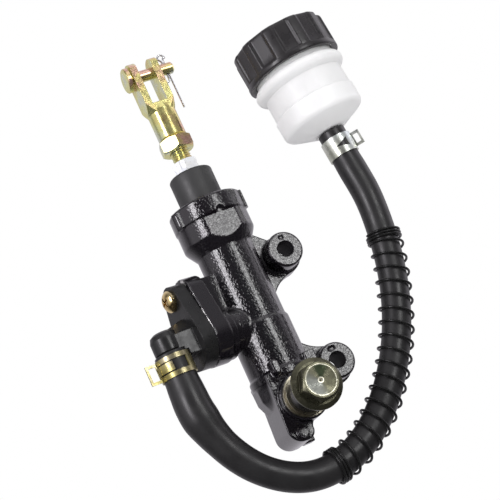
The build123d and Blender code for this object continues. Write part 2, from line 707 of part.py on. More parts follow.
def upper_hose_clamp():
    """A band with a three-cornered window and two squeeze tangs."""
    inner = HOSE_R + FIT
    outwards = Plane(origin=(0, 0, 0), x_dir=(0, 1, 0), z_dir=(1, 0, 0))
    corners = Polyline([(-3.6, -0.5), (1.9, 1.9), (1.9, -1.9)], close=True)
    window = extrude(outwards * make_face(corners), amount=9)
    shape = clamp_band(inner) - Rot(0, 0, -92) * window
    shape += Rot(0, 0, -28) * clamp_tang(inner, 3.1, 3.6)
    shape += Rot(0, 0, 52) * clamp_tang(inner, 2.2, 3.6)
    return from_reservoir(Pos(0, 0, UPPER_CLAMP_AT) * shape)


# --- reservoir -------------------------------------------------------------------------------
FLOOR_Z = -25.2
CONE_END = -30.5
NIPPLE_LOW = -47.0
BODY_STEP = -17.3


def reservoir():
    """A translucent pot: threaded neck, round shoulder, stepped body, coned floor and nipple."""
    low = NIPPLE_LOW
    outer = make_face([
        Line((0, 0, low), (NIPPLE_R - 0.5, 0, low)),
        Line((NIPPLE_R - 0.5, 0, low), (NIPPLE_R, 0, low + 1)),
        Line((NIPPLE_R, 0, low + 1), (NIPPLE_R, 0, CONE_END)),
        Line((NIPPLE_R, 0, CONE_END), (7.0, 0, CONE_END)),
        Line((7.0, 0, CONE_END), (16.6, 0, FLOOR_Z - 0.8)),
        ThreePointArc((16.6, 0, FLOOR_Z - 0.8), (17.8, 0, FLOOR_Z + 0.2), (18.2, 0, FLOOR_Z + 2)),
        Line((18.2, 0, FLOOR_Z + 2), (18.3, 0, BODY_STEP)),
        Line((18.3, 0, BODY_STEP), (17.7, 0, BODY_STEP + 0.6)),
        Line((17.7, 0, BODY_STEP + 0.6), (17.6, 0, -7.6)),
        Line((17.6, 0, -7.6), (18.9, 0, -6.6)),
        ThreePointArc((18.9, 0, -6.6), (20.4, 0, -4.2), (19.2, 0, -2.0)),
        Line((19.2, 0, -2.0), (NECK_OUTER_R, 0, -1.6)),
        Line((NECK_OUTER_R, 0, -1.6), (NECK_OUTER_R, 0, NECK_TOP)),
        Line((NECK_OUTER_R, 0, NECK_TOP), (0, 0, NECK_TOP)),
        Line((0, 0, NECK_TOP), (0, 0, low)),
    ])
    cavity = turned([
        (0, CONE_END + 2.2), (5.5, CONE_END + 2.2), (15.6, FLOOR_Z + 1.4), (16.0, FLOOR_Z + 2.4),
        (16.0, NECK_TOP + 1), (0, NECK_TOP + 1),
    ])
    shape = revolve(outer, Axis.Z) - cavity - cyl(2.2, low - 1, CONE_END + 3)
    return from_reservoir(shape)


def reservoir_diaphragm():
    """A rubber bellows hanging in the neck from a flat sealing rim."""
    rim = NECK_TOP + FIT
    profile = turned([
        (NECK_OUTER_R - 0.1, rim), (NECK_OUTER_R - 0.1, rim + 1.2), (14.6, rim + 1.2), (14.2, -1.0),
        (10.5, -1.0), (10.2, 6.0), (0, 6.0), (0, 4.8), (9.2, 4.8), (9.5, -2.2), (15.2, -2.2),
        (15.6, rim),
    ])
    return from_reservoir(profile)


def diaphragm_plate():
    low = NECK_TOP + 1.3 + FIT
    return from_reservoir(cyl(NECK_OUTER_R - 0.2, low, low + 1.0) - cyl(1.0, low - 1, low + 2, x=12))


def reservoir_cap():
    """A fluted screw cap with a plain lower skirt."""
    inner = NECK_OUTER_R + 0.25
    shape = turned([
        (inner, 0), (CAP_R, 0), (CAP_R, CAP_H - 1.4), (CAP_R - 0.5, CAP_H - 0.4), (CAP_R - 1.6, CAP_H),
        (0, CAP_H), (0, NECK_TOP + 2.45), (inner, NECK_TOP + 2.45),
    ])
    for i in range(CAP_RIBS):
        flute = block((CAP_R - 1.25, CAP_R + 3), (-3.5, 3.5), (CAP_SKIRT, CAP_H - 0.9))
        shape -= Rot(0, 0, CAP_TURN + (i + 0.5) * 360 / CAP_RIBS) * flute
    return from_reservoir(shape)


# --- export ----------------------------------------------------------------------------------
PARTS = {
    "cylinder_body": cylinder_body, "piston": piston, "primary_cup": primary_cup,
    "secondary_cup": secondary_cup, "spring_seat": spring_seat, "return_spring": return_spring,
    "retaining_washer": retaining_washer, "circlip": circlip, "dust_boot": dust_boot,
    "push_rod": push_rod, "lock_nut": lock_nut, "clevis": clevis, "clevis_pin": clevis_pin,
    "cotter_pin": cotter_pin, "banjo_bolt": banjo_bolt, "banjo_washers": banjo_washers,
    "banjo_spacer": banjo_spacer, "inlet_elbow": inlet_elbow, "inlet_seal": inlet_seal,
    "inlet_screw": inlet_screw, "hose": hose, "hose_guard_spring": hose_guard_spring,
    "lower_hose_clamp": lower_hose_clamp, "upper_hose_clamp": upper_hose_clamp,
    "reservoir": reservoir, "reservoir_diaphragm": reservoir_diaphragm,
    "diaphragm_plate": diaphragm_plate, "reservoir_cap": reservoir_cap,
}

os.makedirs("parts", exist_ok=True)
for name, make in PARTS.items():
    made = make()
    solids = [solid for piece in (made if isinstance(made, list) else [made]) for solid in piece.solids()]
    placed = [Pos(BORE_X, BORE_Y, 0) * solid for solid in solids]
    export_step(placed[0] if len(placed) == 1 else Compound(placed), f"parts/{name}.step")
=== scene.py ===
import json
import math

import bmesh
import bpy
import numpy as np
from mathutils import Matrix, Vector


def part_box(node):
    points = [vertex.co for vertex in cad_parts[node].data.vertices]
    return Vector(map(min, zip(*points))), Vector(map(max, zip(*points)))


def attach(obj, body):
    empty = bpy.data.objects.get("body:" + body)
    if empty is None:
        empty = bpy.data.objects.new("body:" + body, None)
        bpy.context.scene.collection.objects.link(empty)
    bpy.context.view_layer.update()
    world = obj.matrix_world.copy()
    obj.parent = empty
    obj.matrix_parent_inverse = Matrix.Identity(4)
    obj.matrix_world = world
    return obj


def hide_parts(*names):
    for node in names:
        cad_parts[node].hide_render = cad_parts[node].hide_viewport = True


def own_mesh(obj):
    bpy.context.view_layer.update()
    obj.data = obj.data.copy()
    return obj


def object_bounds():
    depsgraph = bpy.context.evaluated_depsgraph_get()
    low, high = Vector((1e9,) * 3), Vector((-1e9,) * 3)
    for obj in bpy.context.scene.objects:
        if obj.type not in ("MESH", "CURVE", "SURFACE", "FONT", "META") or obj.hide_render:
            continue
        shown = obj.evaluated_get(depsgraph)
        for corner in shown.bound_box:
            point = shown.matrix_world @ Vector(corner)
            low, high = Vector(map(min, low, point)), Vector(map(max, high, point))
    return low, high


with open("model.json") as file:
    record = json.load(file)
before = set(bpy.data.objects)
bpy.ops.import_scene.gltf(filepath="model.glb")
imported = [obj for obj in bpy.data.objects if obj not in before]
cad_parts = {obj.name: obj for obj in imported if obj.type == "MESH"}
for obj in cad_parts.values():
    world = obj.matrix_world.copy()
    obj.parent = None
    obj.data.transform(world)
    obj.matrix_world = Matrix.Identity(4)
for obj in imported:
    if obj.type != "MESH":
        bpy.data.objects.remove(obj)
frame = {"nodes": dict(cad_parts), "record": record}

MM = 0.001
CAD_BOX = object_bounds()
NODES = frame["nodes"]
JOINTS = {joint["name"]: joint for joint in frame["record"]["behaviour"]["joints"]}

# The bore, banjo and reservoir axes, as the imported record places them. The mounting holes lie on
# x = 0, either side of z = 0. The seam and the head are distances out from the bore axis.
BALL = Vector(JOINTS["push_rod_swing"]["pos_m"])
CAP_AT = Vector(JOINTS["cap_turn"]["pos_m"])
CAP_AXIS = Vector(JOINTS["cap_turn"]["axis"]).normalized()
MOUNTS = {mount["name"]: mount for mount in frame["record"]["mounts"]}
BANJO = Vector(MOUNTS["banjo_joint"]["pos_m"])
BORE = Vector((BALL.x, BALL.y, 0.0))
HOLE_PITCH = MOUNTS["mounting_bolts"]["dims"]["spacing_y_mm"] * MM
EAR_HOLES = (HOLE_PITCH / 2, -HOLE_PITCH / 2)
INLET_TURN = math.radians(14)
INLET_OUT = Vector((-math.cos(INLET_TURN), -math.sin(INLET_TURN), 0.0))
INLET_SEAM = 26.08 * MM
BANJO_HEAD = 36.9 * MM


def from_bore(x, y, z):
    """A point in millimetres from the bore axis, in the row frame."""
    return BORE + Vector((x, y, z)) * MM


# --- camera ----------------------------------------------------------------------------------
AZIMUTH, ELEVATION, ROLL = (math.radians(a) for a in (-19.83, -13.21, 24.83))
DISTANCE = 0.55122


def camera_axes():
    back = Vector((math.sin(AZIMUTH) * math.cos(ELEVATION), -math.cos(AZIMUTH) * math.cos(ELEVATION),
                   math.sin(ELEVATION)))
    level = Vector((math.cos(AZIMUTH), math.sin(AZIMUTH), 0.0))
    over = back.cross(level)
    right = level * math.cos(ROLL) - over * math.sin(ROLL)
    up = level * math.sin(ROLL) + over * math.cos(ROLL)
    return right, up, back


RIGHT, UP, BACK = camera_axes()
TARGET = from_bore(10.15, 0, 30.41)


def make_camera():
    data = bpy.data.cameras.new("camera")
    data.lens = 97.67
    data.sensor_width = 36
    data.clip_start = 0.01
    data.clip_end = 20
    camera = bpy.data.objects.new("camera", data)
    bpy.context.collection.objects.link(camera)
    place = Matrix((RIGHT, UP, BACK)).transposed().to_4x4()
    place.translation = TARGET + BACK * DISTANCE
    camera.matrix_world = place
    bpy.context.scene.camera = camera


# --- light -----------------------------------------------------------------------------------
class Tree:
    """Short calls for building a node tree."""

    def __init__(self, tree):
        self.tree = tree

    def add(self, kind, links=None, **settings):
        node = self.tree.nodes.new(kind)
        for name, value in settings.items():
            setattr(node, name, value)
        for key, value in (links or {}).items():
            socket = node.inputs[key]
            if isinstance(value, bpy.types.NodeSocket):
                self.tree.links.new(value, socket)
            else:
                socket.default_value = value
        return node

    def math(self, operation, a, b=0.0):
        return self.add("ShaderNodeMath", {0: a, 1: b}, operation=operation).outputs[0]

    def dot(self, vector, direction):
        node = self.add("ShaderNodeVectorMath", {0: vector, 1: tuple(direction)}, operation="DOT_PRODUCT")
        return node.outputs["Value"]

    def remap(self, value, low, high, to_low=0.0, to_high=1.0, smooth=True):
        node = self.add("ShaderNodeMapRange", {0: value, 1: low, 2: high, 3: to_low, 4: to_high})
        node.interpolation_type = "SMOOTHSTEP" if smooth else "LINEAR"
        return node.outputs[0]

    def mix(self, share, a, b):
        node = self.add("ShaderNodeMix", {0: share}, data_type="RGBA")
        for socket, value in ((node.inputs[6], a), (node.inputs[7], b)):
            if isinstance(value, bpy.types.NodeSocket):
                self.tree.links.new(value, socket)
            else:
                socket.default_value = (*value, 1.0)
        return node.outputs[2]

    def noise(self, vector, scale, detail=2.0, rough=0.5):
        node = self.add("ShaderNodeTexNoise", {"Vector": vector, "Scale": scale, "Detail": detail,
                                               "Roughness": rough})
        return node.outputs["Fac"]


def make_world():
    """A light tent: bright behind the object, pale to both sides and above, dark in front."""
    world = bpy.data.worlds.new("studio")
    bpy.context.scene.world = world
    world.use_nodes = True
    world.node_tree.nodes.clear()
    t = Tree(world.node_tree)
    direction = t.add("ShaderNodeTexCoord").outputs["Generated"]
    behind = t.remap(t.dot(direction, -BACK), -0.1, 0.7, 0.03, 0.6)
    left = t.remap(t.dot(direction, Vector((-0.97, -0.12, 0.2)).normalized()), 0.84, 0.98, 0.0, 0.6)
    above = t.remap(t.dot(direction, UP), 0.3, 1.0, 0.0, 0.3)
    right = t.remap(t.dot(direction, Vector((0.97, 0.06, 0.23)).normalized()), 0.86, 0.98, 0.0, 0.8)
    tent = t.math("ADD", t.math("ADD", behind, left), t.math("ADD", above, right))
    fill = t.remap(t.dot(direction, UP), -1.0, 1.0, 0.85, 1.2, smooth=False)
    path = t.add("ShaderNodeLightPath")
    soft = t.math("ADD", path.outputs["Is Diffuse Ray"], path.outputs["Is Transmission Ray"])
    level = t.remap(soft, 0, 1, tent, fill, smooth=False)
    shown = t.remap(path.outputs["Is Camera Ray"], 0, 1, level, 1.0, smooth=False)
    tint = t.mix(path.outputs["Is Glossy Ray"], (1, 1, 1), (1.0, 0.96, 1.03))
    background = t.add("ShaderNodeBackground", {"Color": tint, "Strength": shown})
    output = t.add("ShaderNodeOutputWorld")
    t.tree.links.new(background.outputs[0], output.inputs[0])


def area_light(name, direction, distance, size, power, tint=(1.0, 1.0, 1.0)):
    """A rectangular lamp of size (width, height) in metres, aimed at the object, in watts."""
    data = bpy.data.lights.new(name, "AREA")
    data.energy = power
    data.color = tint
    data.shape = "RECTANGLE"
    data.size, data.size_y = size
    light = bpy.data.objects.new(name, data)
    bpy.context.collection.objects.link(light)
    out = direction.normalized()
    light.location = TARGET + out * distance
    light.rotation_mode = "QUATERNION"
    light.rotation_quaternion = out.to_track_quat("Z", "Y")
    light.visible_camera = False


def make_lights():
    area_light("key", Vector((0.36, -0.92, 0.16)), 0.9, (0.22, 0.36), 1.6)
    area_light("left_strip", Vector((-0.78, -0.58, 0.23)), 0.8, (0.20, 0.5), 3.0, (1.0, 0.97, 1.02))
    area_light("top_fill", UP * 0.9 + BACK * 0.3, 1.0, (0.6, 0.6), 0.8)


def make_floor():
    """A round pale floor, far enough down to stay out of the main view."""
    mesh = bpy.data.meshes.new("floor")
    shape = bmesh.new()
    bmesh.ops.create_circle(shape, cap_ends=True, radius=1.1, segments=96)
    shape.to_mesh(mesh)
    shape.free()
    floor = bpy.data.objects.new("floor", mesh)
    bpy.context.collection.objects.link(floor)
    floor.location = (0, 0, CAD_BOX[0].z - 0.09)
    material, t, surface = new_material("floor_paper")
    place = t.add("ShaderNodeNewGeometry").outputs["Position"]
    surface(t.mix(t.noise(place, 6, 3), (0.86, 0.86, 0.86), (0.82, 0.82, 0.82)), 0.8)
    mesh.materials.append(material)
    floor.visible_glossy = False


# --- materials -------------------------------------------------------------------------------
def new_material(name):
    """A material, its tree, and a call that wires a Principled surface with bumps into it."""
    material = bpy.data.materials.new(name)
    material.use_nodes = True
    material.node_tree.nodes.clear()
    t = Tree(material.node_tree)

    def surface(color, rough, bumps=(), edge=0.0, **inputs):
        normal = None
        if edge:
            normal = t.add("ShaderNodeBevel", {"Radius": edge * MM}, samples=4).outputs[0]
        for height, strength, depth in bumps:
            links = {"Height": height, "Strength": strength, "Distance": depth * MM}
            if normal is not None:
                links["Normal"] = normal
            normal = t.add("ShaderNodeBump", links).outputs[0]
        links = {"Base Color": color if isinstance(color, bpy.types.NodeSocket) else (*color, 1.0),
                 "Roughness": rough}
        if normal is not None:
            links["Normal"] = normal
        for key, value in inputs.items():
            links[key.replace("_", " ")] = value
        shader = t.add("ShaderNodeBsdfPrincipled", links)
        output = t.add("ShaderNodeOutputMaterial")
        t.tree.links.new(shader.outputs[0], output.inputs[0])

    return material, t, surface


def place_of(t):
    return t.add("ShaderNodeTexCoord").outputs["Object"]


def radius_about(t, place, x, z):
    """The flat offset of a place from an axis along Y, and its length."""
    away = t.add("ShaderNodeVectorMath", {0: place, 1: (x, 0, z)}, operation="SUBTRACT").outputs[0]
    flat = t.add("ShaderNodeVectorMath", {0: away, 1: (1, 0, 1)}, operation="MULTIPLY").outputs[0]
    return flat, t.add("ShaderNodeVectorMath", {0: flat}, operation="LENGTH").outputs["Value"]


def body_paint():
    """Gloss black over a cast skin: grainy on the front, smoother on the flanks and the inlet."""
    material, t, surface = new_material("body_paint")
    place = place_of(t)
    normal = t.add("ShaderNodeNewGeometry").outputs["Normal"]
    along = t.math("SUBTRACT", t.dot(place, INLET_OUT), BORE.dot(INLET_OUT))
    skin = t.remap(t.dot(normal, Vector((0, -1, 0))), 0.15, 0.6, 0.15, 1.0)
    skin = t.math("MULTIPLY", skin, t.remap(along, 12 * MM, 15 * MM, 1.0, 0.15))
    grain = t.math("MULTIPLY", t.noise(place, 1250, 1, 0.5), skin)
    pits = t.math("MULTIPLY", t.noise(place, 520, 2, 0.5), skin)
    color = t.mix(t.noise(place, 60, 2), (0.0050, 0.0042, 0.0056), (0.0080, 0.0068, 0.0090))
    rough = t.remap(t.noise(place, 2500, 2), 0.3, 0.7, 0.1, 0.17)
    bare = t.math("MULTIPLY", t.math("GREATER_THAN", along, INLET_SEAM),
                  t.math("GREATER_THAN", t.noise(place, 240, 3, 0.7), 0.52))
    in_hole = None
    for z in EAR_HOLES:
        radius = radius_about(t, place, 0, z)[1]
        inside = t.remap(radius, 3.3 * MM, 3.6 * MM, 1.0, 0.0)
        in_hole = inside if in_hole is None else t.math("MAXIMUM", in_hole, inside)
    rough = t.math("MAXIMUM", rough, t.math("MULTIPLY", in_hole, 0.6))
    specular = t.remap(in_hole, 0, 1, 0.75, 0.15)
    color = t.mix(bare, color, (0.75, 0.74, 0.72))
    surface(color, rough, [(pits, 0.3, 0.25), (grain, 1.0, 0.22)], edge=0.25,
            Metallic=t.math("MULTIPLY", bare, 0.9), Specular_IOR_Level=specular,
            Coat_Weight=t.remap(in_hole, 0, 1, 0.5, 0.0), Coat_Roughness=0.08)
    return material


def rubber(name, dark, pale, rough=0.5, edge=0.3):
    material, t, surface = new_material(name)
    place = place_of(t)
    color = t.mix(t.noise(place, 90, 4, 0.6), dark, pale)
    level = t.remap(t.noise(place, 160, 3), 0.3, 0.7, rough - 0.06, rough + 0.08)
    surface(color, level, [(t.noise(place, 2600, 2), 0.12, 0.04), (t.noise(place, 260, 2), 0.1, 0.1)],
            edge=edge)
    return material


def moulded(name, dark, pale, rough, grain=1800, specular=0.5):
    material, t, surface = new_material(name)
    place = place_of(t)
    color = t.mix(t.noise(place, 70, 3), dark, pale)
    level = t.remap(t.noise(place, 240, 3), 0.3, 0.7, rough - 0.05, rough + 0.07)
    surface(color, level, [(t.noise(place, grain, 2), 0.12, 0.05)], edge=0.35,
            Specular_IOR_Level=specular)
    return material


def tinted(t, passivation_and_lit_side, tints):
    """A colour that runs through the tints as the passivation drift, with its painted light shift, goes from
    low to high.
    """
    ramp = t.add("ShaderNodeValToRGB", {"Fac": passivation_and_lit_side})
    stops = ramp.color_ramp.elements
    while len(stops) < len(tints):
        stops.new(0.5)
    for i, tint in enumerate(tints):
        stops[i].position = 0.25 + 0.6 * i / (len(tints) - 1)
        stops[i].color = (*tint, 1.0)
    return ramp.outputs[0]


def zinc(name, tints, rough, lines=0.0, spread=140, edge=0.2, metal=1.0, upper=None):
    """A plated metal whose passivation drifts between tints, with a painted light shift of the tint on faces
    turned front, right and up, and faint turning lines.
    """
    material, t, surface = new_material(name)
    place = place_of(t)
    normal = t.add("ShaderNodeNewGeometry").outputs["Normal"]
    # Painted light: the tint moves along the ramp with how far a face turns front, right and up, as if lit
    # from there.
    painted_lit_side = t.math("MULTIPLY", t.dot(normal, Vector((0.6, -0.5, 0.62))), 0.18)
    passivation_and_lit_side = t.math("ADD", t.noise(place, spread, 3, 0.55), painted_lit_side)
    color = tinted(t, passivation_and_lit_side, tints)
    if upper:
        high = t.math("GREATER_THAN", t.dot(place, Vector((0, 0, 1))), 20 * MM)
        color = t.mix(high, color, tinted(t, passivation_and_lit_side, upper))
    level = t.remap(t.noise(place, 500, 4, 0.6), 0.3, 0.7, rough - 0.05, rough + 0.1)
    bumps = [(t.noise(place, 2200, 3), 0.12, 0.03)]
    if lines:
        along = t.math("SINE", t.math("MULTIPLY", t.dot(place, Vector((0, 0, 1))), 2 * math.pi / (0.3 * MM)))
        bumps.append((along, lines, 0.01))
    surface(color, level, bumps, edge=edge, Metallic=metal)
    return material


def olive_zinc():
    """The banjo bolt: olive plating, turned rings in the dished head, a painted highlight on the dish rim
    and the centre dot, and a painted sheen and shade across the dish.
    """
    material, t, surface = new_material("olive_zinc")
    place = place_of(t)
    flat, radius = radius_about(t, place, BANJO.x, BANJO.z)
    on_head = t.math("LESS_THAN", t.dot(place, Vector((0, 1, 0))), BORE.y - BANJO_HEAD)
    rings = t.math("SINE", t.math("MULTIPLY", radius, 2 * math.pi / (0.42 * MM)))
    # Painted highlight: light colour on a thin ring at the dish rim and on the centre dot, broken up in
    # patches by this noise.
    glint_breakup = t.noise(place, 700, 3, 0.6)
    rim = t.math("MULTIPLY", t.remap(radius, 5.72 * MM, 5.84 * MM), t.remap(radius, 6.12 * MM, 6.0 * MM))
    dot = t.remap(radius, 1.3 * MM, 1.0 * MM)
    painted_glint = t.math("MULTIPLY", on_head, t.math("MAXIMUM", rim, dot))
    painted_glint = t.math("MULTIPLY", painted_glint, t.remap(glint_breakup, 0.3, 0.5, 0.55, 1.0))
    color = t.mix(t.noise(place, 150, 3), (0.075, 0.074, 0.048), (0.15, 0.146, 0.10))
    dish = t.math("MULTIPLY", on_head, t.remap(radius, 5.8 * MM, 5.6 * MM))
    # Painted light across the dish: a paler sector towards -x and -z is a painted reflection, and a darker
    # sector towards +z is painted shade.
    outward = t.add("ShaderNodeVectorMath", {0: flat}, operation="NORMALIZE").outputs[0]
    painted_sheen = t.remap(t.dot(outward, Vector((-0.92, 0, -0.38))), 0.0, 0.8)
    painted_dish_shade = t.remap(t.dot(outward, Vector((0.35, 0, 0.94))), 0.75, 0.98)
    color = t.mix(t.math("MULTIPLY", dish, painted_sheen), color, (0.15, 0.155, 0.14))
    color = t.mix(t.math("MULTIPLY", dish, painted_dish_shade), color, (0.035, 0.045, 0.025))
    color = t.mix(painted_glint, color, (0.70, 0.68, 0.56))
    level = t.remap(t.noise(place, 500, 3), 0.3, 0.7, 0.24, 0.4)
    surface(color, level, [(rings, 0.25, 0.02), (t.noise(place, 1500, 3), 0.2, 0.04)], edge=0.3,
            Metallic=0.9)
    return material


def reservoir_plastic():
    material, t, surface = new_material("reservoir_plastic")
    place = place_of(t)
    color = t.mix(t.noise(place, 60, 3), (0.82, 0.82, 0.822), (0.88, 0.88, 0.88))
    level = t.remap(t.noise(place, 200, 3), 0.3, 0.7, 0.34, 0.46)
    surface(color, level, [(t.noise(place, 900, 2), 0.08, 0.05), (t.noise(place, 120, 2), 0.1, 0.2)],
            edge=0.4, Transmission_Weight=0.3, IOR=1.45, Subsurface_Weight=0.6,
            Subsurface_Radius=(1, 1, 1), Subsurface_Scale=0.004)
    return material


GOLD = [(0.72, 0.76, 0.62), (0.80, 0.80, 0.34), (0.78, 0.66, 0.26), (0.84, 0.50, 0.42), (0.80, 0.80, 0.46)]
WHITE_ZINC = [(0.70, 0.74, 0.80), (0.88, 0.90, 0.92), (0.82, 0.80, 0.76)]
CLAMP_ZINC = [(0.28, 0.24, 0.08), (0.42, 0.37, 0.15), (0.48, 0.43, 0.28), (0.38, 0.40, 0.28)]
PALE_ZINC = [(0.52, 0.54, 0.44), (0.72, 0.74, 0.66), (0.70, 0.74, 0.72), (0.58, 0.64, 0.66)]

MATERIALS = {
    "body_paint": body_paint(),
    "piston_alloy": zinc("piston_alloy", [(0.7, 0.71, 0.73), (0.8, 0.8, 0.82)], 0.3, 0.3),
    "seal_rubber": rubber("seal_rubber", (0.012, 0.012, 0.012), (0.02, 0.02, 0.02)),
    "plated_steel": zinc("plated_steel", WHITE_ZINC, 0.24, edge=0.0),
    "spring_steel": zinc("spring_steel", [(0.3, 0.29, 0.28), (0.42, 0.41, 0.4)], 0.35),
    "boot_rubber": rubber("boot_rubber", (0.024, 0.024, 0.0245), (0.034, 0.034, 0.0345), 0.46, 0.6),
    "rod_zinc": zinc("rod_zinc", WHITE_ZINC, 0.3, spread=260, metal=0.55),
    "yellow_zinc": zinc("yellow_zinc", GOLD, 0.18, 0.15, spread=110, edge=0.12, metal=0.88),
    "olive_zinc": olive_zinc(),
    "washer_alloy": zinc("washer_alloy", [(0.46, 0.42, 0.32), (0.72, 0.68, 0.54)], 0.3),
    "dark_sleeve": moulded("dark_sleeve", (0.008, 0.008, 0.008), (0.013, 0.012, 0.012), 0.2),
    "elbow_plastic": moulded("elbow_plastic", (0.008, 0.008, 0.0085), (0.012, 0.012, 0.0122), 0.3),
    "screw_brass": zinc("screw_brass", [(0.72, 0.50, 0.20), (0.92, 0.74, 0.38), (0.96, 0.84, 0.55)], 0.18),
    "hose_rubber": rubber("hose_rubber", (0.0105, 0.0100, 0.0106), (0.0165, 0.0158, 0.0166), 0.38),
    "guard_wire": moulded("guard_wire", (0.006, 0.006, 0.006), (0.010, 0.010, 0.010), 0.22, specular=0.3),
    "clamp_zinc": zinc("clamp_zinc", CLAMP_ZINC, 0.3, spread=90, edge=0.0, metal=0.9, upper=PALE_ZINC),
    "reservoir_plastic": reservoir_plastic(),
    "cap_plastic": moulded("cap_plastic", (0.013, 0.0118, 0.0128), (0.021, 0.0192, 0.0206), 0.29, 900),
}
SLOTS = {part["node"]: part["material_slot"] for part in frame["record"]["subparts"]}


def paint_nodes():
    for name, node in NODES.items():
        node.data.materials.clear()
        node.data.materials.append(MATERIALS[SLOTS[name]])


# --- geometry --------------------------------------------------------------------------------
def new_piece(name, verts, faces, node, body):
    """A smooth-shaded mesh that wears a CAD node's material and rides on a body."""
    mesh = bpy.data.meshes.new(name)
    mesh.from_pydata([tuple(v) for v in verts], [], faces)
    mesh.validate()
    mesh.update()
    mesh.shade_smooth()
    piece = bpy.data.objects.new(name, mesh)
    bpy.context.collection.objects.link(piece)
    mesh.materials.append(MATERIALS[SLOTS[node]])
    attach(piece, body)
    return piece


def grid_faces(rows, columns):
    """Quads over rows of points that each close round."""
    faces = []
    for i in range(rows - 1):
        low = i * columns
        high = low + columns
        for j in range(columns):
            k = (j + 1) % columns
            faces.append((low + j, low + k, high + k, high + j))
    return faces


WELD_GAP = 2e-6


def welded(mesh):
    """Points and triangles of a mesh, with its split corners joined."""
    shape = bmesh.new()
    shape.from_mesh(mesh)
    bmesh.ops.remove_doubles(shape, verts=shape.verts, dist=WELD_GAP)
    out = bpy.data.meshes.new("welded")
    shape.to_mesh(out)
    shape.free()
    return out


SHARE_ROUNDS = 4


def relax(mesh, rounds, share_of):
    """Moves points towards their neighbours' middle, by a share that is worked out every few rounds."""
    count = len(mesh.vertices)
    points = np.empty(count * 3)
    mesh.vertices.foreach_get("co", points)
    points = points.reshape(-1, 3)
    edges = np.empty(len(mesh.edges) * 2, dtype=np.int64)
    mesh.edges.foreach_get("vertices", edges)
    a, b = edges.reshape(-1, 2).T
    degree = (np.bincount(a, minlength=count) + np.bincount(b, minlength=count))[:, None]
    for i in range(rounds):
        total = np.stack([np.bincount(a, points[b, k], count) + np.bincount(b, points[a, k], count)
                          for k in range(3)], axis=1)
        step = total / degree - points
        if i % SHARE_ROUNDS == 0:
            mesh.vertices.foreach_set("co", points.ravel())
            mesh.update()
            normals = np.empty(count * 3)
            mesh.vertices.foreach_get("normal", normals)
            normals = normals.reshape(-1, 3)
            outward = (step * normals).sum(axis=1)
            share = share_of(points, outward, i)[:, None]
        points = points + step * share
    mesh.vertices.foreach_set("co", points.ravel())
    mesh.update()


# Places where the casting has wide fillets: middle and radius, in millimetres from the bore axis.
FILLETS = [
    ((-9, -8, 11), 7), ((-9, -8, -9), 7), ((-11, -4, 12), 7), ((-11, -4, -9), 7), ((-8, -11, 1), 7),
    ((12, 1, 6), 7), ((12, 1, -6), 7), ((13, 0, 20), 8), ((13, 0, -14), 8), ((13, 0, 32), 6),
    ((17, -1, 22), 7), ((17, -1, -22), 7), ((24, 0, 16), 5), ((24, 0, -16), 5),
    ((-11, -6, -26), 7), ((-11, -7, -31), 6), ((8, -9, -24), 5), ((-6, -12, -26), 5),
]


VOXEL = 0.28 * MM
EDGE_ROUNDS = 4
FILLET_ROUNDS = 26
EAR_FACE_R = 5.0 * MM
TUBE_CLEAR_R = 9.5 * MM
BACK_CLEAR_Y = -0.3 * MM


def casting():
    """The cylinder body with cast edges: remeshed, rounded, and filled in at its wide fillets."""
    node = NODES["cylinder_body"]
    source = bpy.data.objects.new("casting_source", welded(node.data))
    bpy.context.collection.objects.link(source)
    remesh = source.modifiers.new("voxels", "REMESH")
    remesh.mode = "VOXEL"
    remesh.voxel_size = VOXEL
    graph = bpy.context.evaluated_depsgraph_get()
    mesh = bpy.data.meshes.new_from_object(source.evaluated_get(graph))
    bpy.data.objects.remove(source)
    centres = [(np.array(from_bore(*middle)), radius * MM) for middle, radius in FILLETS]

    def shares(points, outward, i):
        share = np.zeros(len(points))
        if i < EDGE_ROUNDS:
            from_hole = np.min([np.hypot(points[:, 0], points[:, 2] - z) for z in EAR_HOLES], axis=0)
            share = np.where(from_hole < EAR_FACE_R, 0.15, 0.5)
        near = np.zeros(len(points))
        for middle, radius in centres:
            away = np.linalg.norm(points - middle, axis=1) / radius
            near = np.maximum(near, np.clip(1.4 - 1.4 * away, 0, 1))
        from_axis = np.hypot(points[:, 0] - BORE.x, points[:, 1] - BORE.y)
        near[from_axis < TUBE_CLEAR_R] = 0
        near[points[:, 1] > BACK_CLEAR_Y] = 0
        return np.maximum(share, np.where(outward > 0, near * 0.9, 0))

    relax(mesh, FILLET_ROUNDS, shares)
    mesh.shade_smooth()
    mesh.materials.clear()
    mesh.materials.append(MATERIALS["body_paint"])
    piece = bpy.data.objects.new("casting", mesh)
    bpy.context.collection.objects.link(piece)
    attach(piece, "housing")
    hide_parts("cylinder_body")


THREAD_LOW = 75.3 * MM
THREAD_PITCH = 1.25 * MM
THREAD_CORE_R = 3.42
THREAD_DEPTH = 0.57
THREAD_TIP_R = 3.4
THREAD_OVERLAP = 0.4 * MM


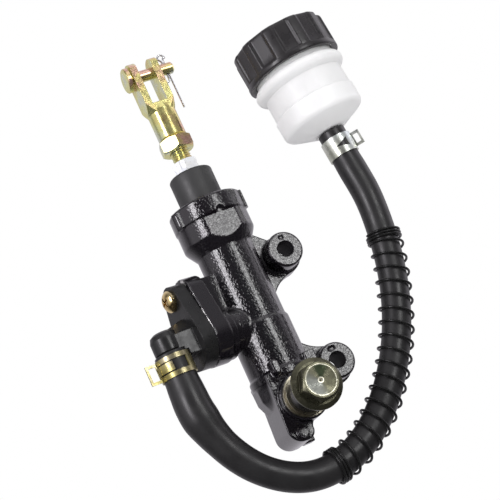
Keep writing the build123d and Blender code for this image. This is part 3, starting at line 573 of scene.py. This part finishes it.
def rod_with_thread():
    """The push rod cut off at its hex, and a true helical thread from there to its end."""
    node = NODES["push_rod"]
    low = THREAD_LOW
    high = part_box("push_rod")[1].z
    mesh = welded(node.data)
    shape = bmesh.new()
    shape.from_mesh(mesh)
    bmesh.ops.delete(shape, geom=[v for v in shape.verts if v.co.z > low], context="VERTS")
    shape.to_mesh(mesh)
    shape.free()
    mesh.materials.append(MATERIALS["rod_zinc"])
    rod = bpy.data.objects.new("rod_shank", mesh)
    bpy.context.collection.objects.link(rod)
    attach(rod, "push_rod")
    columns = 48
    rows = 240
    verts = []
    for i in range(rows + 1):
        z = low - THREAD_OVERLAP + (high - low + THREAD_OVERLAP) * i / rows
        for j in range(columns):
            angle = 2 * math.pi * j / columns
            wave = abs(((z / THREAD_PITCH - j / columns) % 1.0) * 2 - 1)
            tooth = min(max((wave - 0.12) / 0.76, 0.0), 1.0)
            radius = (THREAD_CORE_R + THREAD_DEPTH * tooth) * MM
            radius = min(radius, THREAD_TIP_R * MM + (high - z) * 0.9)
            verts.append((BORE.x + radius * math.cos(angle), BORE.y + radius * math.sin(angle), z))
    faces = grid_faces(rows + 1, columns)
    faces.append(tuple(range(columns - 1, -1, -1)))
    faces.append(tuple(rows * columns + j for j in range(columns)))
    thread = new_piece("rod_thread", verts, faces, "lock_nut", "push_rod")
    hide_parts("push_rod")
    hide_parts("push_rod")


def spring_that_shortens():
    """The return spring as its own piece."""
    node = NODES["return_spring"]
    piece = bpy.data.objects.new("coil_spring", node.data.copy())
    bpy.context.collection.objects.link(piece)
    piece.matrix_world = node.matrix_world.copy()
    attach(piece, "housing")
    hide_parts("return_spring")
    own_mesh(piece)


def cap():
    """The screw cap: rounded ribs between flat flutes, a plain skirt and a hollow underside."""
    ribs = 11
    turn = math.radians(-120.5)
    columns = 396
    rib_r = 21.0
    rib_half = 2.9
    rib_edge = 1.3
    # Each row is the radius over a rib, the radius in a flute and the height, in millimetres.
    rows = [(17.95, 17.95, 12.9), (18.05, 18.05, 0.5), (18.4, 18.4, 0.05), (20.5, 20.5, 0.0),
            (20.85, 20.85, 0.12), (21.0, 21.0, 0.5), (21.0, 21.0, 1.9), (20.9, 20.8, 2.3),
            (20.97, 20.0, 2.75), (21.0, 19.8, 3.3), (21.0, 19.75, 6), (21.0, 19.75, 10),
            (21.0, 19.75, 14.2), (20.9, 19.7, 15.0), (20.6, 19.6, 15.6), (20.1, 19.4, 16.05),
            (19.4, 19.0, 16.3), (18.6, 18.5, 16.4), (16.0, 16.0, 16.4), (15.6, 15.6, 16.2), (6, 6, 16.2),
            (0.5, 0.5, 16.2)]
    lean = CAP_AXIS
    side = Vector((0, 1, 0)).cross(lean).normalized()
    front = lean.cross(side)
    verts = []
    for rib, flute, z in rows:
        for j in range(columns):
            angle = 2 * math.pi * j / columns
            step = (angle - turn) / (2 * math.pi) * ribs - 0.5
            away = abs(step - round(step)) * 2 * math.pi / ribs
            across = away * rib_r
            share = min(max((across - rib_half) / rib_edge, 0.0), 1.0)
            share = share * share * (3 - 2 * share)
            hollow = min(flute / max(math.cos(away), 0.9), rib)
            radius = (hollow * (1 - share) + rib * share) * MM
            verts.append(CAP_AT + side * radius * math.cos(angle) + front * radius * math.sin(angle)
                         + lean * z * MM)
    faces = grid_faces(len(rows), columns)
    faces.append(tuple((len(rows) - 1) * columns + j for j in range(columns)))
    faces.append(tuple(columns - 1 - j for j in range(columns)))
    piece = new_piece("ribbed_cap", verts, faces, "reservoir_cap", "cap")
    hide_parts("reservoir_cap")


def smooth_curve(points, start, end, steps):
    """A clamped cubic spline through points, parametrised by chord length."""
    p = np.array(points, dtype=float)
    h = np.linalg.norm(np.diff(p, axis=0), axis=1)
    n = len(p)
    a = np.zeros((n, n))
    b = np.zeros((n, p.shape[1]))
    a[0, 0] = a[-1, -1] = 1
    b[0] = start
    b[-1] = end
    for i in range(1, n - 1):
        a[i, i - 1] = h[i]
        a[i, i] = 2 * (h[i - 1] + h[i])
        a[i, i + 1] = h[i - 1]
        b[i] = 3 * (h[i] * (p[i] - p[i - 1]) / h[i - 1] + h[i - 1] * (p[i + 1] - p[i]) / h[i])
    m = np.linalg.solve(a, b)
    out = []
    for i in range(n - 1):
        for s in np.linspace(0, 1, steps, endpoint=False):
            out.append((2 * s**3 - 3 * s**2 + 1) * p[i] + (s**3 - 2 * s**2 + s) * h[i] * m[i]
                       + (-2 * s**3 + 3 * s**2) * p[i + 1] + (s**3 - s**2) * h[i] * m[i + 1])
    out.append(p[-1])
    return np.array(out)


HOSE_END_R = 6.6
HOSE_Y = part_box("hose")[0].y + HOSE_END_R * MM
LEAN = math.atan2(CAP_AXIS.x, CAP_AXIS.z)


def hose_line():
    """The hose's middle line as (x, z) in millimetres from the bore axis, 1 mm apart."""
    foot = (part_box("hose")[0].x - BORE.x) / MM + HOSE_END_R
    cap_x = (CAP_AT.x - BORE.x) / MM
    cap_z = CAP_AT.z / MM

    def on_axis(along):
        return (cap_x + along * math.sin(LEAN), cap_z + along * math.cos(LEAN))

    bend = smooth_curve(
        [(foot, -20), (-37.8, -35), (-27, -53), (-8, -63.6), (14, -59.9), (33.2, -45.2), (48.6, -24),
         (58.1, -1), (62.6, 22), (63.3, 35), on_axis(-49.0)],
        (0, -1), (math.sin(LEAN), math.cos(LEAN)), 40)
    line = np.vstack([[(foot, 0.2)], bend, [on_axis(-30.8)]])
    steps = np.concatenate([[0], np.cumsum(np.linalg.norm(np.diff(line, axis=0), axis=1))])
    at = np.linspace(0, steps[-1], int(steps[-1]) + 1)
    return np.stack([np.interp(at, steps, line[:, 0]), np.interp(at, steps, line[:, 1])], axis=1), at


def hose_tube():
    """The hose as one smooth tube, stretched over both nipples and open at both mouths."""
    line, at = hose_line()
    total = at[-1]
    from_foot = {0: 6.58, 11: 6.58, 14: 6.9, 20: 7.25, 28: 7.5, 34: 6.75, 40: 6.25, 60: 5.9}
    from_head = {36: 5.9, 26: 6.05, 18: 6.1, 12: 5.9, 0: 5.88}
    knots = list(from_foot) + [total - back for back in from_head]
    radii = list(from_foot.values()) + list(from_head.values())
    fine = np.interp(at, knots, radii)
    for _ in range(2):
        fine[1:-1] = (fine[:-2] + 2 * fine[1:-1] + fine[2:]) / 4
    ahead = np.gradient(line, axis=0)
    ahead /= np.linalg.norm(ahead, axis=1)[:, None]
    columns = 56
    # At each end, the bore and its chamfer as (radius, inset), then the rim as (step in, inset).
    mouth = [(3.75, 8.0), (3.75, 0.3), (4.1, 0.0)]
    outer = [(0.35, 0.0), (0.1, 0.12), (0.0, 0.45)]
    verts = []

    def ring(i, radius, inset=0.0):
        x, z = line[i]
        tx, tz = ahead[i]
        for j in range(columns):
            angle = 2 * math.pi * j / columns
            across = radius * math.cos(angle)
            y = HOSE_Y - BORE.y + radius * math.sin(angle) * MM
            verts.append(BORE + Vector(((x + tz * across + tx * inset) * MM, y,
                                        (z - tx * across + tz * inset) * MM)))

    last = len(line) - 1
    for radius, inset in mouth:
        ring(0, radius, inset)
    for less, inset in outer:
        ring(0, fine[0] - less, inset)
    for i in range(1, last):
        ring(i, fine[i])
    for less, inset in reversed(outer):
        ring(last, fine[last] - less, -inset)
    for radius, inset in reversed(mouth):
        ring(last, radius, -inset)
    rows = len(verts) // columns
    piece = new_piece("hose_tube", verts, grid_faces(rows, columns), "hose", "housing")
    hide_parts("hose")


# --- scene -----------------------------------------------------------------------------------
def look():
    scene = bpy.context.scene
    scene.view_settings.view_transform = "Standard"
    scene.view_settings.look = "None"
    scene.view_settings.exposure = 0.0
    scene.cycles.use_denoising = True
    scene.cycles.max_bounces = 8
    scene.cycles.seed = 7


paint_nodes()
casting()
rod_with_thread()
spring_that_shortens()
cap()
hose_tube()
make_world()
make_lights()
make_floor()
make_camera()
look()
